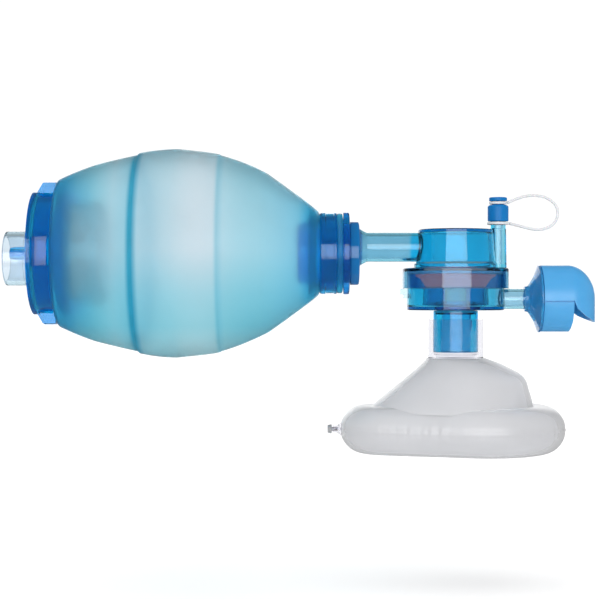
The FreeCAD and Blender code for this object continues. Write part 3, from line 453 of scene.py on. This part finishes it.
def dress_nodes():
    """Gives every CAD node that stays its finished material, and returns the tether's."""
    # the last argument of each clear blue is its glow, painted light
    flare = clear_plastic("flare_blue", (0.10, 0.50, 0.80), BLUE_ABSORPTION, 120.0, 0.25, 0.3, 0.05)
    rear = clear_plastic("rear_blue", (0.02, 0.62, 0.92), BLUE_ABSORPTION, 200.0, 0.03, 0.12, 0.03)
    cap_end = clear_plastic("rear_cap_blue", (0.02, 0.60, 0.92), BLUE_ABSORPTION, 180.0, 0.08, 0.12, 0.05)
    deep = clear_plastic("neck_blue", NECK_BLUE, BLUE_ABSORPTION, 220.0, 0.03, 0.15, 0.02)
    clear = clear_plastic("clear_water_white", (0.74, 0.82, 0.88), CYAN_ABSORPTION, 40.0)
    port = clear_plastic("reservoir_clear", (0.78, 0.83, 0.91), CYAN_ABSORPTION, 40.0)
    smoke = clear_plastic("smoke_clear", (0.84, 0.89, 0.93), CYAN_ABSORPTION, 30.0, 0.20)
    # the coral pieces glow: painted light that keeps them coral behind the tinted walls
    coral = silicone("coral_silicone", (0.82, 0.24, 0.18), (1.00, 0.24, 0.20), 1.30)
    rear_coral = silicone("rear_coral_silicone", (0.82, 0.30, 0.25), (0.92, 0.36, 0.32), 0.35)
    pale_seal = silicone("pale_seal", (0.45, 0.70, 0.82), (0.55, 0.78, 0.88))
    sky = opaque_plastic("sky_blue_plastic", (0.060, 0.345, 0.69), (0.072, 0.375, 0.74), 0.36)
    cap = opaque_plastic("cap_blue_plastic", (0.002, 0.15, 0.44), (0.003, 0.18, 0.50), 0.32, 0.15)
    strap = opaque_plastic("tether_plastic", (0.66, 0.67, 0.69), (0.74, 0.75, 0.77), 0.45)
    collar = mask_vinyl("mask_collar_vinyl", 0.05, (0.86, 0.86, 0.90), 1.0)
    grey = opaque_plastic("stopper_grey", (0.30, 0.31, 0.33), (0.38, 0.39, 0.41), 0.5)
    looks = {
        connector_plastic(): ["patient_connector"],
        flare: ["exhaust_port"],
        rear: ["rear_collar", "oxygen_nipple"],
        cap_end: ["rear_cap"],
        port: ["reservoir_port"],
        chamber_plastic(): ["valve_top"],
        housing_plastic(): ["valve_base"],
        deep: ["neck_collar", "neck_adapter"],
        clear: ["lock_clip"],
        smoke: ["intake_valve_body"],
        coral: ["duckbill_valve"],
        rear_coral: ["rear_gasket", "intake_flap"],
        pale_seal: ["neck_seal", "housing_seal", "connector_seal"],
        sky: ["exhaust_deflector"],
        cap: ["port_cap"],
        strap: ["tether_cap_ring", "tether_port_ring"],
        collar: ["mask_collar", "inflation_nozzle"],
        grey: ["inflation_stopper"],
    }
    for material, nodes in looks.items():
        for node in nodes:
            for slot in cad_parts[node].material_slots:
                slot.material = material
    return strap


# ---- mesh helpers -------------------------------------------------------------------------------------
def add_piece(name, points, faces, material):
    mesh = bpy.data.meshes.new(name)
    mesh.from_pydata([tuple(p) for p in points], [], faces)
    mesh.validate()
    mesh.polygons.foreach_set("use_smooth", [True] * len(mesh.polygons))
    mesh.materials.append(material)
    piece = bpy.data.objects.new(name, mesh)
    bpy.context.scene.collection.objects.link(piece)
    return piece


def grid_faces(rings, around, closed_rings):
    """Quads over rings of around points; closed_rings joins the last ring to the first."""
    faces = []
    last = rings if closed_rings else rings - 1
    for i in range(last):
        a, b = i * around, (i + 1) % rings * around
        for j in range(around):
            k = (j + 1) % around
            faces.append((a + j, a + k, b + k, b + j))
    return faces


def arc(a, mid, b, steps):
    """Points on the circle through three (x, r) points, from a to b, without b."""
    ax, ay, bx, by, cx, cy = *a, *mid, *b
    d = 2 * (ax * (by - cy) + bx * (cy - ay) + cx * (ay - by))
    ux = ((ax**2 + ay**2) * (by - cy) + (bx**2 + by**2) * (cy - ay) + (cx**2 + cy**2) * (ay - by)) / d
    uy = ((ax**2 + ay**2) * (cx - bx) + (bx**2 + by**2) * (ax - cx) + (cx**2 + cy**2) * (bx - ax)) / d
    radius = math.hypot(ax - ux, ay - uy)
    start, end = math.atan2(ay - uy, ax - ux), math.atan2(by - uy, bx - ux)
    if end > start:
        end -= math.tau
    if start - end > math.pi:
        end += math.tau
    angles = [start + (end - start) * i / steps for i in range(steps)]
    return [(ux + radius * math.cos(t), uy + radius * math.sin(t)) for t in angles]


def run(a, b, steps):
    """Points on the straight line from a to b, without b."""
    return [(a[0] + (b[0] - a[0]) * i / steps, a[1] + (b[1] - a[1]) * i / steps) for i in range(steps)]


def soften(outline, passes):
    """Closed outline with its corners rounded by averaging each point with its neighbours."""
    for _ in range(passes):
        count = len(outline)
        outline = [
            tuple((outline[i - 1][k] + 2 * outline[i][k] + outline[(i + 1) % count][k]) / 4 for k in (0, 1))
            for i in range(count)
        ]
    return outline


# ---- bag ----------------------------------------------------------------------------------------------
BAG_TURNS = 192
REAR_X = -193.6 * MM
BAND_REAR_X = -155.0 * MM
BAND_FRONT_X = -115.5 * MM
FRONT_X = -67.0 * MM
WALL = 1.8 * MM


def bag_outline():
    """Closed half section (x, r) of the bag: outside from rear neck to front neck, then back inside."""
    top = (BAG_HIGH.z - BAG_LOW.z) / 2
    band = top - 2.1 * MM
    band_inside = band - 2.2 * MM
    rear_neck, rear_bore = 28.2 * MM, 26.6 * MM
    front_neck, front_bore, bead = 18.5 * MM, 17.1 * MM, 19.5 * MM
    back, front = BAG_LOW.x, BAG_HIGH.x
    middle = (BAND_REAR_X + BAND_FRONT_X) / 2
    outside = (
        run((back, rear_neck), (REAR_X - 1.0 * MM, rear_neck), 14)
        + run((REAR_X - 1.0 * MM, rear_neck), (REAR_X - 0.6 * MM, 35.2 * MM), 12)
        + arc((REAR_X, 36.0 * MM), (-175.0 * MM, 43.4 * MM), (BAND_REAR_X - 1.0 * MM, band - 0.6 * MM), 60)
        + run((BAND_REAR_X - 1.0 * MM, band - 0.6 * MM), (BAND_REAR_X - 0.3 * MM, band - 1.3 * MM), 2)
        + run((BAND_REAR_X - 0.3 * MM, band - 1.3 * MM), (BAND_REAR_X + 0.5 * MM, band), 3)
        + arc((BAND_REAR_X + 0.5 * MM, band), (middle, top), (BAND_FRONT_X, band + 0.1 * MM), 60)
        + run((BAND_FRONT_X, band + 0.1 * MM), (BAND_FRONT_X + 0.6 * MM, band - 1.0 * MM), 3)
        + arc((BAND_FRONT_X + 0.6 * MM, band - 1.0 * MM), (-90.9 * MM, 38.3 * MM), (FRONT_X, 21.2 * MM), 80)
        + run((FRONT_X, 21.2 * MM), (FRONT_X + 0.4 * MM, front_neck), 5)
        + run((FRONT_X + 0.4 * MM, front_neck), (front - 2.8 * MM, front_neck), 12)
        + run((front - 2.8 * MM, front_neck), (front - 2.8 * MM, bead), 3)
        + run((front - 2.8 * MM, bead), (front, bead), 5)
        + run((front, bead), (front, front_bore), 5)
    )
    inside = (
        run((front, front_bore), (FRONT_X + 1.6 * MM, front_bore), 14)
        + arc((FRONT_X - 0.4 * MM, 19.6 * MM), (-91.8 * MM, 36.5 * MM), (BAND_FRONT_X, band_inside), 60)
        + arc((BAND_FRONT_X, band_inside), (middle, top - WALL), (BAND_REAR_X, band_inside), 50)
        + arc((BAND_REAR_X, band_inside), (-174.5 * MM, 41.6 * MM), (REAR_X + 0.8 * MM, 33.6 * MM), 50)
        + run((REAR_X + 0.8 * MM, 33.6 * MM), (REAR_X + 0.6 * MM, rear_bore), 12)
        + run((REAR_X + 0.6 * MM, rear_bore), (back, rear_bore), 14)
        + run((back, rear_bore), (back, rear_neck), 3)
    )
    return soften(outside + inside, 3)


def make_bag(material):
    """The bag, with its wall; away from its ends it is uneven by a fifth of a millimetre."""
    outline = bag_outline()
    points = []
    for i in range(BAG_TURNS):
        angle = math.tau * i / BAG_TURNS
        up, across = math.cos(angle), math.sin(angle)
        for x, r in outline:
            ripple = noise.noise(Vector((x * 45, across * 2.2, up * 2.2))) * 0.22 * MM
            fade = min(1.0, max(0.0, (r - 30 * MM) / (8 * MM)))
            r += ripple * fade
            points.append((x, r * across, BAG_Z + r * up))
    piece = add_piece("bag_skin", points, grid_faces(BAG_TURNS, len(outline), True), material)
    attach(piece, "bag")
    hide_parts("bag_shell")


# ---- mask ---------------------------------------------------------------------------------------------
SECTION_R = (CUSHION_HIGH.z - CUSHION_LOW.z) / 2
CUSHION_Z = (CUSHION_HIGH.z + CUSHION_LOW.z) / 2
NOSE_X, NOSE_R = -29.6 * MM, 15.0 * MM
CHIN_X, CHIN_R = 12.7 * MM, 29.0 * MM


def pear_path(steps):
    """Centreline of the cushion: (point, outward normal) pairs, evenly spaced, from the chin round."""
    lean = math.asin((CHIN_R - NOSE_R) / (CHIN_X - NOSE_X))
    side = (CHIN_X - NOSE_X) * math.cos(lean)
    chin_turn, nose_turn = math.pi + 2 * lean, math.pi - 2 * lean
    lengths = [CHIN_R * chin_turn, side, NOSE_R * nose_turn, side]
    total = sum(lengths)
    chin_start = -(math.pi / 2 + lean)
    out = []
    for i in range(steps):
        s = total * i / steps
        if s < lengths[0]:
            angle = chin_start + s / CHIN_R
            centre, radius = CHIN_X, CHIN_R
        elif s < lengths[0] + side:
            angle = math.pi / 2 + lean
            t = (s - lengths[0]) / side
            centre, radius = CHIN_X + (NOSE_X - CHIN_X) * t, CHIN_R + (NOSE_R - CHIN_R) * t
        elif s < lengths[0] + side + lengths[2]:
            angle = math.pi / 2 + lean + (s - lengths[0] - side) / NOSE_R
            centre, radius = NOSE_X, NOSE_R
        else:
            angle = -(math.pi / 2 + lean)
            t = (s - lengths[0] - side - lengths[2]) / side
            centre, radius = NOSE_X + (CHIN_X - NOSE_X) * t, NOSE_R + (CHIN_R - NOSE_R) * t
        normal = Vector((math.cos(angle), math.sin(angle), 0))
        out.append((Vector((centre, 0, CUSHION_Z)) + normal * radius, normal))
    return out


def bell(x, width):
    return math.exp(-((x / width) ** 2))


def cushion_rings(path, radius, around):
    """Section rings of the air cushion: slack film, puckered beside the weld that runs round its outside."""
    points = []
    for i, (centre, normal) in enumerate(path):
        for j in range(around):
            angle = math.tau * j / around
            from_seam = min(angle, math.tau - angle)
            pucker = noise.noise(Vector((i * 0.55, from_seam * 1.3, 3.0))) * bell(from_seam, 0.42)
            slack = noise.noise(Vector((centre.x * 40, centre.y * 40, angle)))
            weld = 0.45 * bell(from_seam, 0.05) - 0.35 * bell(from_seam, 0.16)
            r = radius + (0.2 * slack + 0.35 * pucker + weld) * MM
            points.append(centre + normal * (r * math.cos(angle)) + Vector((0, 0, r * math.sin(angle))))
    return points


def make_cushion(material):
    """Inflated film ring: an outer and an inner skin, a film's thickness apart, with air inside."""
    steps, around, film = 240, 88, 0.5 * MM
    radius = SECTION_R - 0.25 * MM     # leaves the film's unevenness inside the CAD box
    path = pear_path(steps)
    outer = cushion_rings(path, radius, around)
    inner = cushion_rings(path, radius - film, around)
    faces = grid_faces(steps, around, True)
    faces += [tuple(k + len(outer) for k in reversed(face)) for face in faces]
    piece = add_piece("cushion_film", outer + inner, faces, material)
    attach(piece, "mask")
    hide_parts("mask_cushion")


DOME_SUNK = 3.4 * MM     # how far the foot goes down into the cushion's top
DOME_STEPS = [           # share of the way down, left end, right end and half width in millimetres, taper
    (0.00, -14.0, 14.6, 14.0, 0.00), (0.12, -16.8, 22.8, 18.2, 0.02), (0.33, -23.2, 32.6, 24.0, 0.06),
    (0.62, -32.4, 35.8, 28.6, 0.12), (0.93, -42.0, 38.0, 32.6, 0.16), (1.00, -43.0, 38.4, 33.2, 0.16),
]


def dome_station(t):
    """Left end, right end, half width and taper of the dome, t of the way down, smooth through DOME_STEPS."""
    count = len(DOME_STEPS)
    i = max(k for k in range(count - 1) if DOME_STEPS[k][0] <= t or k == 0)
    before, a, b, after = (DOME_STEPS[min(max(k, 0), count - 1)] for k in (i - 1, i, i + 1, i + 2))
    span = b[0] - a[0]
    u = (t - a[0]) / span
    out = []
    for k in range(1, 5):
        start = (b[k] - before[k]) / (b[0] - before[0]) * span
        end = (after[k] - a[k]) / (after[0] - a[0]) * span
        out.append(
            (2 * u**3 - 3 * u**2 + 1) * a[k] + (u**3 - 2 * u**2 + u) * start
            + (3 * u**2 - 2 * u**3) * b[k] + (u**3 - u**2) * end
        )
    return out


def dome_ring(t, inset, around):
    """Outline of the dome t of the way from the collar to the cushion."""
    z = COLLAR_LOW.z + (CUSHION_HIGH.z - DOME_SUNK - COLLAR_LOW.z) * t
    left, right, width, taper = dome_station(t)
    middle, half = (left + right) / 2 * MM, (right - left) / 2 * MM - inset
    ring = []
    for j in range(around):
        angle = math.tau * j / around
        y = (width * MM - inset) * math.sin(angle) * (1 + taper * math.cos(angle))
        ring.append(Vector((middle + half * math.cos(angle), y, z - inset * 0.4 * (1 - t))))
    return ring


def make_dome(material):
    """The dome's outer and inner skins, open at the collar and at the cushion."""
    rows, around, wall = 44, 144, 1.5 * MM
    outer = [dome_ring(i / rows, 0.0, around) for i in range(rows + 1)]
    inner = [dome_ring(i / rows, wall, around) for i in range(rows, -1, -1)]
    rings = outer + inner
    points = [p for ring in rings for p in ring]
    piece = add_piece("dome_skin", points, grid_faces(len(rings), around, True), material)
    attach(piece, "mask")
    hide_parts("mask_dome")


# ---- tether -------------------------------------------------------------------------------------------
TETHER_R = 0.7 * MM
TETHER_ROUTE = [
    (PORT_X + 4.45 * MM, 73.0 * MM), (30.6 * MM, 75.6 * MM), (37.6 * MM, 77.0 * MM), (44.8 * MM, 75.8 * MM),
    (49.9 * MM, 71.6 * MM), (50.2 * MM, 65.4 * MM), (46.2 * MM, 60.9 * MM), (39.6 * MM, 59.6 * MM),
    (32.0 * MM, 61.6 * MM), (PORT_X + 5.45 * MM, 63.0 * MM),
]


def smooth_line(route):
    """Points read along the NURBS spline that has the route as its control points."""
    curve = bpy.data.curves.new("tether_line", "CURVE")
    curve.dimensions = "3D"
    spline = curve.splines.new("NURBS")
    spline.points.add(len(route) - 1)
    for point, (x, z) in zip(spline.points, route):
        point.co = (x, 0, z, 1)
    spline.order_u = 3
    spline.use_endpoint_u = True
    spline.resolution_u = 12
    holder = bpy.data.objects.new("tether_line", curve)
    mesh = bpy.data.meshes.new_from_object(holder)
    line = [v.co.copy() for v in mesh.vertices]
    bpy.data.objects.remove(holder)
    bpy.data.meshes.remove(mesh)
    return line


def make_tether(material):
    """Round strand from the cap's ring to the ring round the port."""
    line = smooth_line(TETHER_ROUTE)
    around = 16
    side = Vector((0, 1, 0))
    points = []
    for i, p in enumerate(line):
        ahead = (line[min(i + 1, len(line) - 1)] - line[max(i - 1, 0)]).normalized()
        up = side.cross(ahead)
        for j in range(around):
            angle = math.tau * j / around
            points.append(p + side * (TETHER_R * math.cos(angle)) + up * (TETHER_R * math.sin(angle)))
    faces = grid_faces(len(line), around, False)
    faces += [tuple(range(around))[::-1], tuple(range(len(points) - around, len(points)))]
    piece = add_piece("tether_strand", points, faces, material)
    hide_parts("cap_tether")
    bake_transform(piece)


# ---- build --------------------------------------------------------------------------------------------
make_camera()
make_studio()
make_tether(dress_nodes())
make_bag(frosted_bag())
# the dome and the cushion glow faintly: painted light
make_dome(mask_vinyl("dome_vinyl", 0.40, (0.84, 0.842, 0.86), 0.42, 0.03, 0.15))
make_cushion(mask_vinyl("cushion_vinyl", 0.40, (0.83, 0.832, 0.85), 0.42, 0.03, 1.0))
make_floor()
